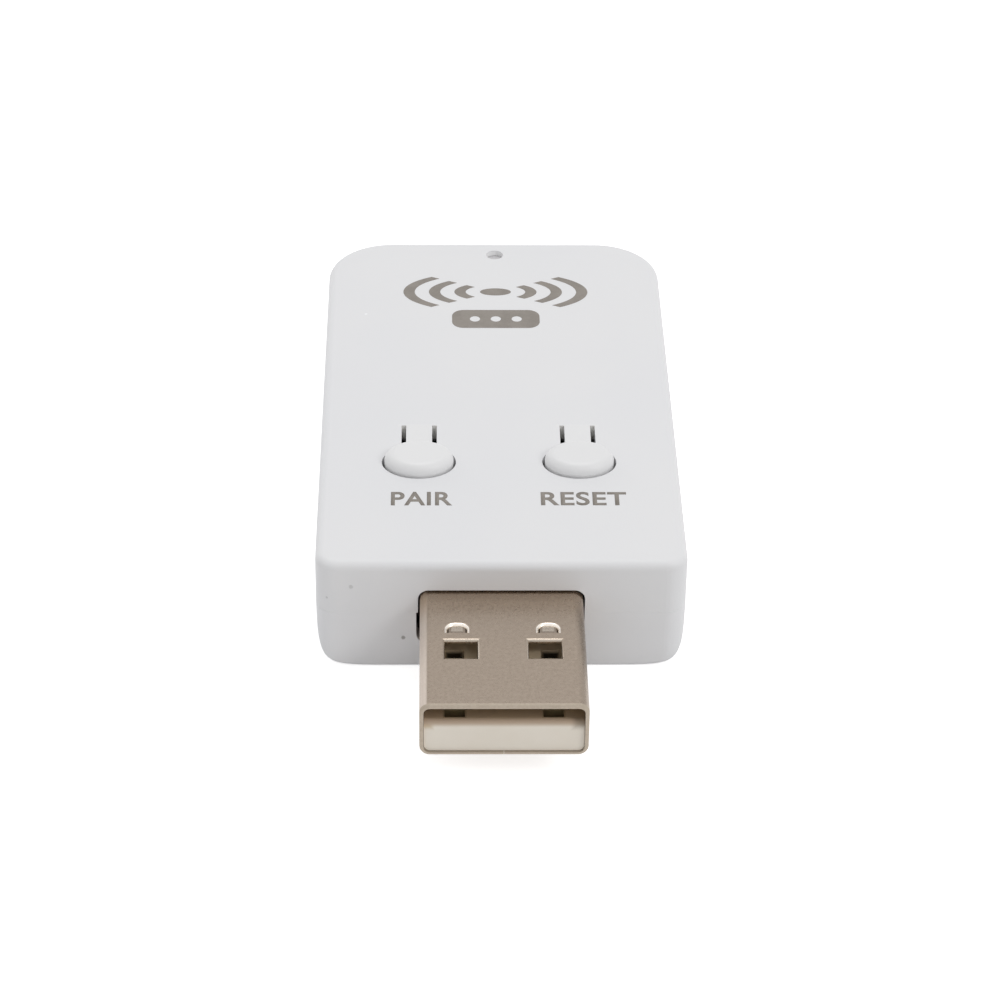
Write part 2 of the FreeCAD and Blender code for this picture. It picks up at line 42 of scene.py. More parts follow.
# The camera
# It looks down on the gateway from beyond its plug's tip, a little to the left and turned slightly
# right, with a long lens.
camera_place = Vector((-4.86, -214.18, 150.89)) * mm
camera_pitch = math.radians(34.5)
camera_yaw = math.radians(1.348)
camera_roll = math.radians(0.779)
camera_data = bpy.data.cameras.new("camera")
camera_data.lens = 119.84
camera_data.sensor_width = 36.0
camera_data.clip_start = 0.01
camera_data.clip_end = 20.0
camera = bpy.data.objects.new("camera", camera_data)
turn = Matrix.Rotation(-camera_yaw, 4, "Z") @ Matrix.Rotation(math.pi / 2 - camera_pitch, 4, "X")
camera.matrix_world = Matrix.Translation(camera_place) @ turn @ Matrix.Rotation(camera_roll, 4, "Z")
bpy.context.scene.collection.objects.link(camera)
bpy.context.scene.camera = camera
bpy.context.scene.view_settings.view_transform = "Standard"


# Daylight of the room
# A plain grey sky lights the object evenly. What the camera, a gloss or a clear piece sees beyond
# the floor is the white backdrop.
def feed(tree, socket, source):
    """Give a socket a value, or link it to the output of another node."""
    if isinstance(source, bpy.types.NodeSocket):
        tree.links.new(source, socket)
    else:
        socket.default_value = source


def add(tree, kind, inputs=None, **settings):
    """A shader node with its settings, and its inputs as values or as links from other nodes."""
    item = tree.nodes.new("ShaderNode" + kind)
    for name, value in settings.items():
        setattr(item, name, value)
    for key, source in (inputs or {}).items():
        feed(tree, item.inputs[key], source)
    return item


def calc(tree, operation, first, second=0.0):
    """The output of one Math node."""
    return add(tree, "Math", {0: first, 1: second}, operation=operation).outputs[0]


def seen_directly(tree):
    """1 for what is seen straight, in a gloss or through a clear piece, and 0 for what only lights."""
    path = add(tree, "LightPath").outputs
    seen = calc(tree, "MAXIMUM", path["Is Camera Ray"], path["Is Glossy Ray"])
    return calc(tree, "MAXIMUM", seen, path["Is Transmission Ray"])


world = bpy.data.worlds.new("studio")
bpy.context.scene.world = world
world.use_nodes = True
sky = world.node_tree
sky.nodes.clear()
room = add(sky, "Background", {"Color": (0.99, 0.99, 1.0, 1), "Strength": 0.62})
backdrop = add(sky, "Background", {"Color": (1, 1, 1, 1), "Strength": 1.0})
mix = add(sky, "MixShader", {"Fac": seen_directly(sky), 1: room.outputs[0], 2: backdrop.outputs[0]})
add(sky, "OutputWorld", {"Surface": mix.outputs[0]})


def soft_box(name, place, size, power):
    """A square studio lamp that faces the object."""
    data = bpy.data.lights.new(name, "AREA")
    data.size = size
    data.energy = power
    lamp = bpy.data.objects.new(name, data)
    aim = Vector(place).to_track_quat("Z", "Y").to_matrix().to_4x4()
    lamp.matrix_world = Matrix.Translation(place) @ aim
    bpy.context.scene.collection.objects.link(lamp)


soft_box("lamp_above", place=(0.0, 0.26, 0.76), size=0.34, power=1.45)
soft_box("lamp_right", place=(0.56, -0.40, 0.58), size=0.24, power=1.35)
soft_box("lamp_rear_left", place=(-0.62, 0.75, 0.28), size=0.36, power=0.6)

# The floor
# A white sheet just under the object. Its glow is only seen and lights nothing, so that the sheet
# shows as the pale backdrop with a soft shadow on it.
floor_reach = 3.0
floor_gap = 0.02 * mm
floor_glow = 0.68
floor_mesh = bpy.data.meshes.new("floor")
floor_form = bmesh.new()
bmesh.ops.create_grid(floor_form, x_segments=1, y_segments=1, size=floor_reach)
floor_form.to_mesh(floor_mesh)
floor_form.free()
floor = bpy.data.objects.new("floor", floor_mesh)
floor.location.z = -floor_gap
bpy.context.scene.collection.objects.link(floor)
floor_paper = bpy.data.materials.new("floor_paper")
floor_paper.use_nodes = True
paper = floor_paper.node_tree
paper_shader = paper.nodes["Principled BSDF"]
paper_shader.inputs["Base Color"].default_value = (0.80, 0.80, 0.80, 1)
paper_shader.inputs["Roughness"].default_value = 0.9
paper_shader.inputs["Specular IOR Level"].default_value = 0.1
paper_shader.inputs["Emission Color"].default_value = (1, 1, 1, 1)
glow = calc(paper, "MULTIPLY", seen_directly(paper), floor_glow)
paper.links.new(glow, paper_shader.inputs["Emission Strength"])
floor_mesh.materials.append(floor_paper)


# The lower shell and the cover
# Two shells of white ABS, injection moulded in a finely spark-eroded tool, which gives them a satin
# skin. The cover's four legs snap into the lower shell.
def group(name, inputs, outputs):
    """A node group with named sockets, and its input and output nodes' sockets."""
    tree = bpy.data.node_groups.new(name, "ShaderNodeTree")
    for socket, kind, value in inputs:
        made = tree.interface.new_socket(socket, in_out="INPUT", socket_type="NodeSocket" + kind)
        made.default_value = value
    for socket in outputs:
        tree.interface.new_socket(socket, in_out="OUTPUT", socket_type="NodeSocketFloat")
    return tree, tree.nodes.new("NodeGroupInput").outputs, tree.nodes.new("NodeGroupOutput").inputs


def noise(tree, place, scale, detail=2.0):
    """The value of a noise texture of so many lumps a metre."""
    return add(tree, "TexNoise", {"Vector": place, "Scale": scale, "Detail": detail}).outputs[0]


def between(tree, value, low, high, to_low=0.0, to_high=1.0):
    """A value mapped from one range to another, and held inside it."""
    inputs = {"Value": value, 1: low, 2: high, 3: to_low, 4: to_high}
    return add(tree, "MapRange", inputs, interpolation_type="SMOOTHSTEP").outputs[0]


def blend_colour(tree, amount, first, second):
    """Two colours mixed by a mask."""
    item = add(tree, "Mix", {0: amount}, data_type="RGBA")
    for index, colour in ((6, first), (7, second)):
        feed(tree, item.inputs[index], (*colour, 1) if isinstance(colour, tuple) else colour)
    return item.outputs[2]


# The range that holds nearly all values of a noise texture
noise_span = (0.3, 0.7)

# Moulded skin: a fine grain for bump and gloss, and broad, faint clouds of tone.
skin, skin_in, skin_out = group(
    "moulded_skin",
    inputs=[("Vector", "Vector", (0, 0, 0)), ("Grain Scale", "Float", 9000.0),
            ("Cloud Scale", "Float", 60.0)],
    outputs=["Grain", "Clouds"])
skin_grain = noise(skin, skin_in["Vector"], skin_in["Grain Scale"], detail=3.0)
skin_cloud = noise(skin, skin_in["Vector"], skin_in["Cloud Scale"])
skin.links.new(skin_grain, skin_out["Grain"])
skin.links.new(between(skin, skin_cloud, *noise_span), skin_out["Clouds"])

# Spot: 1 inside a small round patch with a ragged edge, and 0 outside.
spot_raggedness = 0.8
spot_fade = (1.0, 1.7)
spot, spot_in, spot_out = group(
    "spot",
    inputs=[("Vector", "Vector", (0, 0, 0)), ("Centre", "Vector", (0, 0, 0)), ("Radius", "Float", mm)],
    outputs=["Mask"])
spot_gap = add(spot, "VectorMath", {0: spot_in["Vector"], 1: spot_in["Centre"]}, operation="DISTANCE")
spot_near = calc(spot, "DIVIDE", spot_gap.outputs["Value"], spot_in["Radius"])
spot_wobble = calc(spot, "MULTIPLY", noise(spot, spot_in["Vector"], 5000.0), spot_raggedness)
spot_edge = calc(spot, "ADD", spot_near, spot_wobble)
spot.links.new(between(spot, spot_edge, *spot_fade, 1.0, 0.0), spot_out["Mask"])

# Box: 1 inside a box along the axes, and 0 outside, with a soft border round it.
inside, inside_in, inside_out = group(
    "inside_box",
    inputs=[("Vector", "Vector", (0, 0, 0)), ("Centre", "Vector", (0, 0, 0)),
            ("Half Size", "Vector", (1, 1, 1)), ("Border", "Float", 0.1 * mm)],
    outputs=["Mask"])
inside_shift = add(inside, "VectorMath", {0: inside_in["Vector"], 1: inside_in["Centre"]},
                   operation="SUBTRACT")
inside_reach = add(inside, "VectorMath", {0: inside_shift.outputs[0]}, operation="ABSOLUTE")
inside_over = add(inside, "VectorMath", {0: inside_reach.outputs[0], 1: inside_in["Half Size"]},
                  operation="SUBTRACT")
inside_axes = add(inside, "SeparateXYZ", {0: inside_over.outputs[0]}).outputs
inside_across = calc(inside, "MAXIMUM", inside_axes[0], inside_axes[1])
inside_far = calc(inside, "MAXIMUM", inside_across, inside_axes[2])
inside_share = calc(inside, "DIVIDE", inside_far, inside_in["Border"])
inside.links.new(between(inside, inside_share, 0.0, 1.0, 1.0, 0.0), inside_out["Mask"])


def new_finish(name, metallic=0.0):
    """A material: its tree, its Principled shader and the place in the piece's own coordinates."""
    made = bpy.data.materials.new(name)
    made.use_nodes = True
    tree = made.node_tree
    shader = tree.nodes["Principled BSDF"]
    shader.inputs["Metallic"].default_value = metallic
    return made, tree, shader, add(tree, "TexCoord").outputs["Object"]


def bump(tree, shader, height, depth, strength):
    """Relief of a depth in millimetres, from a height between 0 and 1."""
    relief = add(tree, "Bump", {"Height": height, "Distance": depth * mm, "Strength": strength})
    tree.links.new(relief.outputs[0], shader.inputs["Normal"])


def moulded(tree, shader, place, grain, clouds, tones, gloss, relief=None):
    """Wire a moulded skin to a shader, and return its tone.

    Grain and clouds are lumps a metre, gloss is the roughness from smoothest to roughest, and relief
    is the grain's depth in millimetres and its strength.
    """
    inputs = {"Vector": place, "Grain Scale": grain, "Cloud Scale": clouds}
    parts = add(tree, "Group", inputs, node_tree=skin).outputs
    tone = blend_colour(tree, parts["Clouds"], *tones)
    tree.links.new(tone, shader.inputs["Base Color"])
    tree.links.new(between(tree, parts["Grain"], *noise_span, *gloss), shader.inputs["Roughness"])
    if relief:
        bump(tree, shader, parts["Grain"], *relief)
    return tone


def dress(names, finish):
    """Give CAD nodes their material."""
    for name in names:
        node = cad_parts[name]
        node.data.materials.clear()
        node.data.materials.append(finish)


def in_mm(name):
    """The lowest and highest corner of a CAD node at rest, in millimetres."""
    low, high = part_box(name)
    return low / mm, high / mm


def box_mask(tree, place, x_range, y_range, z_range, border):
    """The mask of a box, from its range along each axis and its soft border, in millimetres."""
    low, high = (Vector(corner) * mm for corner in zip(x_range, y_range, z_range))
    inputs = {"Vector": place, "Centre": (low + high) / 2, "Half Size": (high - low) / 2,
              "Border": border * mm}
    return add(tree, "Group", inputs, node_tree=inside).outputs["Mask"]


# Marks on the shells: the centre and radius of each, in millimetres, and its colour.
cover_low, cover_high = in_mm("top_cover")
front_y = cover_low.y
cover_top_z = cover_high.z
speck_grey = (0.36, 0.35, 0.34)
speck_faint = (0.62, 0.62, 0.62)
fleck_white = (0.90, 0.91, 0.92)
case_marks = [
    ((-7.23, front_y, 2.73), 0.16, speck_grey),
    ((-12.85, front_y + 0.19, 6.27), 0.10, speck_faint),
    ((-11.05, front_y, 7.36), 0.17, speck_faint),
    ((-10.53, front_y + 35.07, cover_top_z), 0.12, fleck_white),
]

white_case, tree, shader, place = new_finish("white_case")
case_tone = moulded(tree, shader, place, grain=7000.0, clouds=70.0,
                    tones=((0.775, 0.778, 0.790), (0.790, 0.790, 0.795)), gloss=(0.44, 0.54),
                    relief=(0.012, 0.5))

# The walls of the buttons' openings carry painted brown shade where they go deep, and the ends of the
# slots carry painted light.
painted_shade_brown = (0.05, 0.045, 0.035)
slot_end_painted_light = (0.95, 0.935, 0.90)
deep_range = (6.0, 7.7)
deep_margin = 0.06
slot_end_range = (8.2, cover_top_z - 0.04)
slot_end_half = 1.6
for name in ("pair_button", "reset_button"):
    button_low, button_high = in_mm(name)
    painted_shade_walls = box_mask(tree, place, (button_low.x - deep_margin, button_high.x + deep_margin),
                          (button_low.y - deep_margin, button_high.y), deep_range, border=0.8)
    case_tone = blend_colour(tree, painted_shade_walls, case_tone, painted_shade_brown)
    button_x = (button_low.x + button_high.x) / 2
    slot_ends = box_mask(tree, place, (button_x - slot_end_half, button_x + slot_end_half),
                         (button_high.y - 0.1, button_high.y + 0.1), slot_end_range, border=0.05)
    case_tone = blend_colour(tree, slot_ends, case_tone, slot_end_painted_light)

# Painted light on the wall of the light's hole: a paler white than the skin.
rod_low, rod_high = in_mm("light_pipe")
light_hole = box_mask(tree, place, (rod_low.x, rod_high.x), (rod_low.y, rod_high.y),
                      (7.0, cover_top_z - 0.1), border=0.08)
case_tone = blend_colour(tree, light_hole, case_tone, (0.93, 0.93, 0.93))
for centre, radius, tint in case_marks:
    mark = {"Vector": place, "Centre": Vector(centre) * mm, "Radius": radius * mm}
    mark_mask = add(tree, "Group", mark, node_tree=spot).outputs["Mask"]
    case_tone = blend_colour(tree, mark_mask, case_tone, tint)
tree.links.new(case_tone, shader.inputs["Base Color"])
shader.inputs["Specular IOR Level"].default_value = 0.4
dress(["top_cover", "bottom_case"], white_case)

# The buttons
# Each is an oval cap on a springy tongue, moulded with the cover in the same white plastic, and
# polished a little smoother where the finger rests.
white_button, tree, shader, place = new_finish("white_button")
moulded(tree, shader, place, grain=9000.0, clouds=250.0,
        tones=((0.785, 0.785, 0.787), (0.797, 0.797, 0.797)), gloss=(0.38, 0.46), relief=(0.008, 0.4))
dress(["pair_button", "reset_button"], white_button)

# The plug's sleeve
# Steel sheet 0.3 mm thick, stamped with latch holes and half-sheared tabs, folded round with its
# seam below, then barrel nickel plated. Its cut edges carry painted highlights, and some of its faces
# painted light and shade.
worn, worn_in, worn_out = group(
    "plated_metal",
    inputs=[("Vector", "Vector", (0, 0, 0)), ("Mottle Scale", "Float", 900.0),
            ("Line Scale", "Float", 4000.0), ("Stretch", "Vector", (1, 0.12, 1))],
    outputs=["Mottle", "Lines"])
worn_stretch = add(worn, "Mapping", {"Vector": worn_in["Vector"], "Scale": worn_in["Stretch"]})
worn_lines = noise(worn, worn_stretch.outputs[0], worn_in["Line Scale"])
worn_mottle = noise(worn, worn_in["Vector"], worn_in["Mottle Scale"], detail=4.0)
worn.links.new(between(worn, worn_mottle, *noise_span), worn_out["Mottle"])
worn.links.new(worn_lines, worn_out["Lines"])


def rolled(tree, shader, place, scales, tones, gloss, relief):
    """Wire sheet metal with rolled lines to a shader, and return its tone and its roughness.

    Scales are the inputs of the group for plated metal, and the rest is as for a moulded skin.
    """
    parts = add(tree, "Group", {"Vector": place, **scales}, node_tree=worn).outputs
    tone = blend_colour(tree, parts["Mottle"], *tones)
    roughness = between(tree, parts["Lines"], *noise_span, *gloss)
    tree.links.new(tone, shader.inputs["Base Color"])
    tree.links.new(roughness, shader.inputs["Roughness"])
    bump(tree, shader, parts["Lines"], *relief)
    return tone, roughness


nickel, tree, shader, place = new_finish("nickel_sheet", metallic=1.0)
nickel_scales = {"Mottle Scale": 3200.0, "Line Scale": 5200.0, "Stretch": (1, 1, 1)}
nickel_tone, nickel_gloss = rolled(tree, shader, place, nickel_scales,
                                   tones=((0.308, 0.252, 0.204), (0.338, 0.279, 0.227)),
                                   gloss=(0.26, 0.34), relief=(0.0025, 0.3))

# Where the faces of the plug lie, and how far a mask reaches past them. The sleeve's node is wider
# than the plug, for its wings on the board.
sleeve_low, sleeve_high = in_mm("usb_shell")
tip_y = sleeve_low.y
plug_half = 6.0
sheet = 0.3
plug_low_z = sleeve_low.z
plug_top_z = sleeve_high.z
past = 0.2
all_x = (-plug_half - past, plug_half + past)

# Edges that turn away from the top, and faces that look ahead
edge_turn = (0.93, 0.995)
front_turn = (-0.14, -0.02)
facing = add(tree, "SeparateXYZ", {0: add(tree, "TexCoord").outputs["Normal"]}).outputs
turned_edge = between(tree, facing["Z"], *edge_turn, 1.0, 0.0)
front_facing = between(tree, facing["Y"], *front_turn, 1.0, 0.0)

# The inner faces, warmer than the outside: a painted warm reflection of the insulator
inner_half = plug_half - sheet + 0.02
inner_face_reflection = box_mask(tree, place, (-inner_half, inner_half), (tip_y + 0.25, sleeve_high.y + 0.35),
                      (plug_low_z + 0.91, plug_top_z - sheet + 0.03), border=0.03)
nickel_tone = blend_colour(tree, inner_face_reflection, nickel_tone, (0.40, 0.31, 0.21))

# The left flank, matt from handling, with a painted reflection that is brightest near the tip
left_flank = box_mask(tree, place, (-plug_half - past, -plug_half + 0.4), (tip_y + 0.05, front_y + 0.05),
                      (plug_low_z - past, plug_top_z - 0.03), border=0.2)
flank_fade = ((tip_y + 3.15) * mm, (tip_y + 10.15) * mm)
flank_place = add(tree, "SeparateXYZ", {0: place}).outputs["Y"]
flank_painted_reflection = blend_colour(tree, between(tree, flank_place, *flank_fade), (0.60, 0.535, 0.48),
                          (0.52, 0.46, 0.41))
nickel_tone = blend_colour(tree, left_flank, nickel_tone, flank_painted_reflection)

# Painted light on the band next to the housing, which lifts the shade there
near_case_painted_light = box_mask(tree, place, all_x, (front_y - 0.65, sleeve_high.y + 0.35),
                     (plug_top_z - 0.19, plug_top_z + 0.21), border=3.4)
nickel_tone = blend_colour(tree, near_case_painted_light, nickel_tone, (0.42, 0.335, 0.26))

# Painted highlight on the cut edge of the mouth, and painted light on its sill, which lifts its shade
mouth_box = box_mask(tree, place, all_x, (tip_y - past, tip_y + 0.27),
                     (plug_low_z - past, plug_top_z + past), border=0.03)
mouth_sill = box_mask(tree, place, (-plug_half + 0.1, plug_half - 0.1), (tip_y - past, tip_y + 0.35),
                      (plug_low_z - past, plug_low_z + 0.71), border=0.05)
mouth_edge = calc(tree, "MAXIMUM", calc(tree, "MULTIPLY", front_facing, mouth_box), mouth_sill)
nickel_tone = blend_colour(tree, mouth_edge, nickel_tone, (0.45, 0.395, 0.33))

# Painted highlights on the rims of the latch holes
latch_y = front_y - 6.9
latch_reach = 4.25
latch_box = box_mask(tree, place, (-latch_reach, latch_reach), (latch_y - 1.3, latch_y + 1.35),
                     (plug_top_z - 0.34, plug_top_z + past), border=0.04)
latch_edge_highlight = calc(tree, "MULTIPLY", turned_edge, latch_box)
nickel_tone = blend_colour(tree, latch_edge_highlight, nickel_tone, (0.47, 0.41, 0.345))

# The half-sheared tabs: painted light on their dipped faces, and then painted highlights on their cut
# edges
tab_root_y = front_y - 5.0
tab_low_z = plug_top_z - 0.35
tab_half = 0.35
tab_reach = 4.5
for tab_x in (-3.3, 3.3):
    tab_face_light = box_mask(tree, place, (tab_x - tab_half, tab_x + tab_half),
                        (tab_root_y + 0.3, tab_root_y + 0.8), (tab_low_z, plug_top_z - 0.02),
                        border=0.15)
    nickel_tone = blend_colour(tree, tab_face_light, nickel_tone, (0.55, 0.49, 0.42))
tab_box = box_mask(tree, place, (-tab_reach, tab_reach), (tab_root_y + 0.05, tab_root_y + 1.45),
                   (tab_low_z, plug_top_z + past), border=0.05)
tab_edge_highlight = calc(tree, "MULTIPLY", turned_edge, tab_box)
nickel_tone = blend_colour(tree, tab_edge_highlight, nickel_tone, (0.86, 0.80, 0.73))

matt_more = 0.45
matt_parts = calc(tree, "MAXIMUM", mouth_edge, left_flank)
nickel_gloss = calc(tree, "ADD", nickel_gloss, calc(tree, "MULTIPLY", matt_parts, matt_more))
tree.links.new(nickel_tone, shader.inputs["Base Color"])
tree.links.new(nickel_gloss, shader.inputs["Roughness"])
dress(["usb_shell"], nickel)

# The plug's insulator
# One block of warm white PBT with the tongue in front. Its pockets let the contacts' ends dip in.
# Painted shade lies in the pockets, on the nose and the tongue and under the latch holes, and a tan
# patch lies at the nose's left end.
insulator, tree, shader, place = new_finish("plug_insulator")
block_tone = moulded(tree, shader, place, grain=6000.0, clouds=300.0,
                     tones=((0.80, 0.735, 0.635), (0.825, 0.765, 0.67)), gloss=(0.40, 0.52),
                     relief=(0.01, 0.4))

# A tan patch and painted shades on the block: each has its range across, from the tip backwards and
# from the tongue's top upwards, its soft border, its share and its tone.
tongue_top_z = (plug_low_z + plug_top_z) / 2 + 0.6
block_x = (-plug_half, plug_half)
# A tan patch at the left end of the nose
tan_patch = ((-5.75, -5.35), (0.05, 0.85), (-0.29, 0.06), 0.5, 0.7, (0.52, 0.39, 0.22))
nose_shade = (block_x, (-0.85, 12.15), (-0.12, 0.16), 0.38, 1.0, (0.51, 0.39, 0.285))
# Painted shade at the right end of the nose
nose_end_shade = ((5.2, 6.0), (-0.85, 3.15), (-0.24, 0.16), 0.6, 0.6, (0.25, 0.20, 0.145))
tongue_shade = (block_x, (0.85, 5.15), (-0.09, 0.16), 0.35, 0.8, (0.43, 0.325, 0.21))
hole_shade = (block_x, (6.15, 11.15), (-0.94, 0.06), 0.1, 1.0, (0.70, 0.565, 0.39))
block_shades = [tan_patch, nose_shade, nose_end_shade, tongue_shade, hole_shade]
# Painted shade in the contacts' pockets, darkest in the rear ones
for pocket_x in (-3.5, 3.5):
    front_pocket_shade = ((pocket_x - 0.78, pocket_x + 0.78), (0.75, 1.80), (-1.04, -0.04), 0.08, 1.0,
                    (0.22, 0.165, 0.085))
    rear_pocket_shade = ((pocket_x - 0.42, pocket_x + 0.42), (7.60, 8.75), (-1.04, -0.39), 0.34, 1.0,
                   (0.05, 0.037, 0.022))
    block_shades += [front_pocket_shade, rear_pocket_shade]
for across, from_tip, from_top, border, share, tint in block_shades:
    y_range = [tip_y + step for step in from_tip]
    z_range = [tongue_top_z + step for step in from_top]
    shade = calc(tree, "MULTIPLY", box_mask(tree, place, across, y_range, z_range, border), share)
    block_tone = blend_colour(tree, shade, block_tone, tint)
tree.links.new(block_tone, shader.inputs["Base Color"])
dress(["usb_insulator"], insulator)

# The contacts
# Four strips of phosphor bronze, gold flashed over nickel, pressed through the insulator and soldered
# to the board. Their blades are burnished where a socket wipes them.
gold, tree, shader, place = new_finish("gold_contact", metallic=1.0)
rolled(tree, shader, place, {"Mottle Scale": 1800.0, "Line Scale": 6000.0},
       tones=((0.76, 0.53, 0.24), (0.85, 0.63, 0.32)), gloss=(0.2, 0.4), relief=(0.003, 0.3))
dress(["usb_contact_1", "usb_contact_2", "usb_contact_3", "usb_contact_4"], gold)

# The circuit board
# Glass and epoxy laminate under green solder mask, with fine tracks of copper that show as raised,
# lighter lines.
laminate, tree, shader, place = new_finish("board_laminate")
track_map = add(tree, "Mapping", {"Vector": place, "Rotation": (0, 0, math.radians(45))})
tracks = add(tree, "TexBrick", {"Vector": track_map.outputs[0], "Scale": 260.0, "Mortar Size": 0.05,
                                "Mortar Smooth": 0.4, "Brick Width": 0.9, "Row Height": 0.22})
weave = noise(tree, place, 1500.0)
mask_tone = blend_colour(tree, weave, (0.014, 0.085, 0.040), (0.022, 0.12, 0.058))
mask_tone = blend_colour(tree, tracks.outputs["Fac"], mask_tone, (0.05, 0.19, 0.09))
tree.links.new(mask_tone, shader.inputs["Base Color"])
tree.links.new(between(tree, weave, *noise_span, 0.28, 0.40), shader.inputs["Roughness"])
bump(tree, shader, tracks.outputs["Fac"], 0.03, 0.6)
dress(["circuit_board"], laminate)

# The chips, switch bases, diode, regulator and resistors
# Black epoxy moulding compound filled with silica, matt, with a faint sparkle of the filler.
black, tree, shader, place = new_finish("black_moulding")
black_tone = moulded(tree, shader, place, grain=9000.0, clouds=700.0,
                     tones=((0.022, 0.022, 0.024), (0.034, 0.034, 0.035)), gloss=(0.5, 0.68),
                     relief=(0.01, 0.5))
filler = add(tree, "TexVoronoi", {"Vector": place, "Scale": 9000.0}).outputs["Distance"]
sparkle = between(tree, filler, 0.0, 0.16, 0.6, 0.0)
black_tone = blend_colour(tree, sparkle, black_tone, (0.14, 0.14, 0.14))
tree.links.new(black_tone, shader.inputs["Base Color"])
dress(["radio_chip", "memory_chip", "voltage_regulator", "surge_diode", "resistors",
       "pair_switch_base", "reset_switch_base"], black)

# The switch plates and the crystal's can
# Stainless steel sheet, rolled, with the fine lines of the rolls along it.
steel, tree, shader, place = new_finish("steel_plate", metallic=1.0)
rolled(tree, shader, place, {"Mottle Scale": 1200.0, "Line Scale": 9000.0},
       tones=((0.55, 0.55, 0.55), (0.63, 0.63, 0.62)), gloss=(0.25, 0.42), relief=(0.003, 0.5))
dress(["pair_switch_frame", "reset_switch_frame", "radio_crystal"], steel)

# The radio's lid and the switches' leads
# Tinned sheet, duller than steel, with the clouded bloom of hot tin.
tin, tree, shader, place = new_finish("tinned_metal", metallic=1.0)
tin_scales = {"Vector": place, "Mottle Scale": 450.0, "Line Scale": 2500.0}
bloom = add(tree, "Group", tin_scales, node_tree=worn).outputs["Mottle"]
tin_tone = blend_colour(tree, bloom, (0.56, 0.57, 0.57), (0.70, 0.70, 0.68))
tree.links.new(tin_tone, shader.inputs["Base Color"])
tree.links.new(between(tree, bloom, 0.2, 0.8, 0.30, 0.50), shader.inputs["Roughness"])
bump(tree, shader, bloom, 0.01, 0.3)
dress(["radio_shield", "switch_terminals"], tin)

# The switches' plungers
# Ivory nylon stems, which a button's post presses down.
nylon, tree, shader, place = new_finish("plunger_plastic")
moulded(tree, shader, place, grain=8000.0, clouds=600.0,
        tones=((0.78, 0.74, 0.64), (0.83, 0.80, 0.72)), gloss=(0.35, 0.48), relief=(0.006, 0.4))
dress(["pair_switch_plunger", "reset_switch_plunger"], nylon)

# The status light
# A milky acrylic rod stands on the light's package and ends just below the cover's skin. It is off.
milky, tree, shader, place = new_finish("clear_plastic")
moulded(tree, shader, place, grain=5000.0, clouds=900.0,
        tones=((0.60, 0.59, 0.60), (0.66, 0.65, 0.66)), gloss=(0.25, 0.38), relief=(0.006, 0.3))
milk_depth = 0.5 * mm
shader.inputs["Subsurface Weight"].default_value = 0.4
shader.inputs["Subsurface Radius"].default_value = (milk_depth, milk_depth, milk_depth)
shader.inputs["Subsurface Scale"].default_value = 1.0
dress(["light_pipe"], milky)
package, tree, shader, place = new_finish("led_package")
moulded(tree, shader, place, grain=8000.0, clouds=1200.0,
        tones=((0.84, 0.83, 0.72), (0.88, 0.87, 0.80)), gloss=(0.2, 0.35))
dress(["status_led"], package)

# The chip antenna, the inductor and the capacitors
# Fired ceramics and ferrite: matt, finely gritty, each in its own colour.
ceramics = [
    ("antenna_ceramic", "chip_antenna", (0.74, 0.74, 0.69), (0.81, 0.81, 0.77)),
    ("ferrite", "power_inductor", (0.075, 0.075, 0.078), (0.115, 0.113, 0.110)),
    ("tan_ceramic", "capacitors", (0.40, 0.28, 0.17), (0.49, 0.36, 0.24)),
]
for finish_name, node_name, dark_tone, light_tone in ceramics:
    ceramic, tree, shader, place = new_finish(finish_name)
    moulded(tree, shader, place, grain=6000.0, clouds=1000.0, tones=(dark_tone, light_tone),
            gloss=(0.45, 0.62), relief=(0.015, 0.5))
    dress([node_name], ceramic)

# The printing on the cover
# Warm grey ink, pad printed: the two buttons' words, and above them a plain sign for radio waves and
# a rounded bar. The ink lies a hundredth of a millimetre thick on the skin.
ink, tree, shader, place = new_finish("grey_ink")
moulded(tree, shader, place, grain=6500.0, clouds=900.0,
        tones=((0.232, 0.208, 0.182), (0.268, 0.241, 0.211)), gloss=(0.45, 0.6), relief=(0.006, 0.5))
ink_rise = 0.012 * mm
ink_sink = 0.008 * mm
ink_top = cover_top_z * mm + ink_rise


def printed(name, form):
    """A flat printed piece on the cover, from a bmesh of faces that lie at the ink's top."""
    shape = bmesh.ops.extrude_face_region(form, geom=form.faces[:])
    moved = [item for item in shape["geom"] if isinstance(item, bmesh.types.BMVert)]
    bmesh.ops.translate(form, vec=(0, 0, -(ink_rise + ink_sink)), verts=moved)
    bmesh.ops.recalc_face_normals(form, faces=form.faces[:])
    mesh = bpy.data.meshes.new(name)
    form.to_mesh(mesh)
    form.free()
    mesh.materials.append(ink)
    piece = bpy.data.objects.new(name, mesh)
    bpy.context.scene.collection.objects.link(piece)
    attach(piece, "housing")


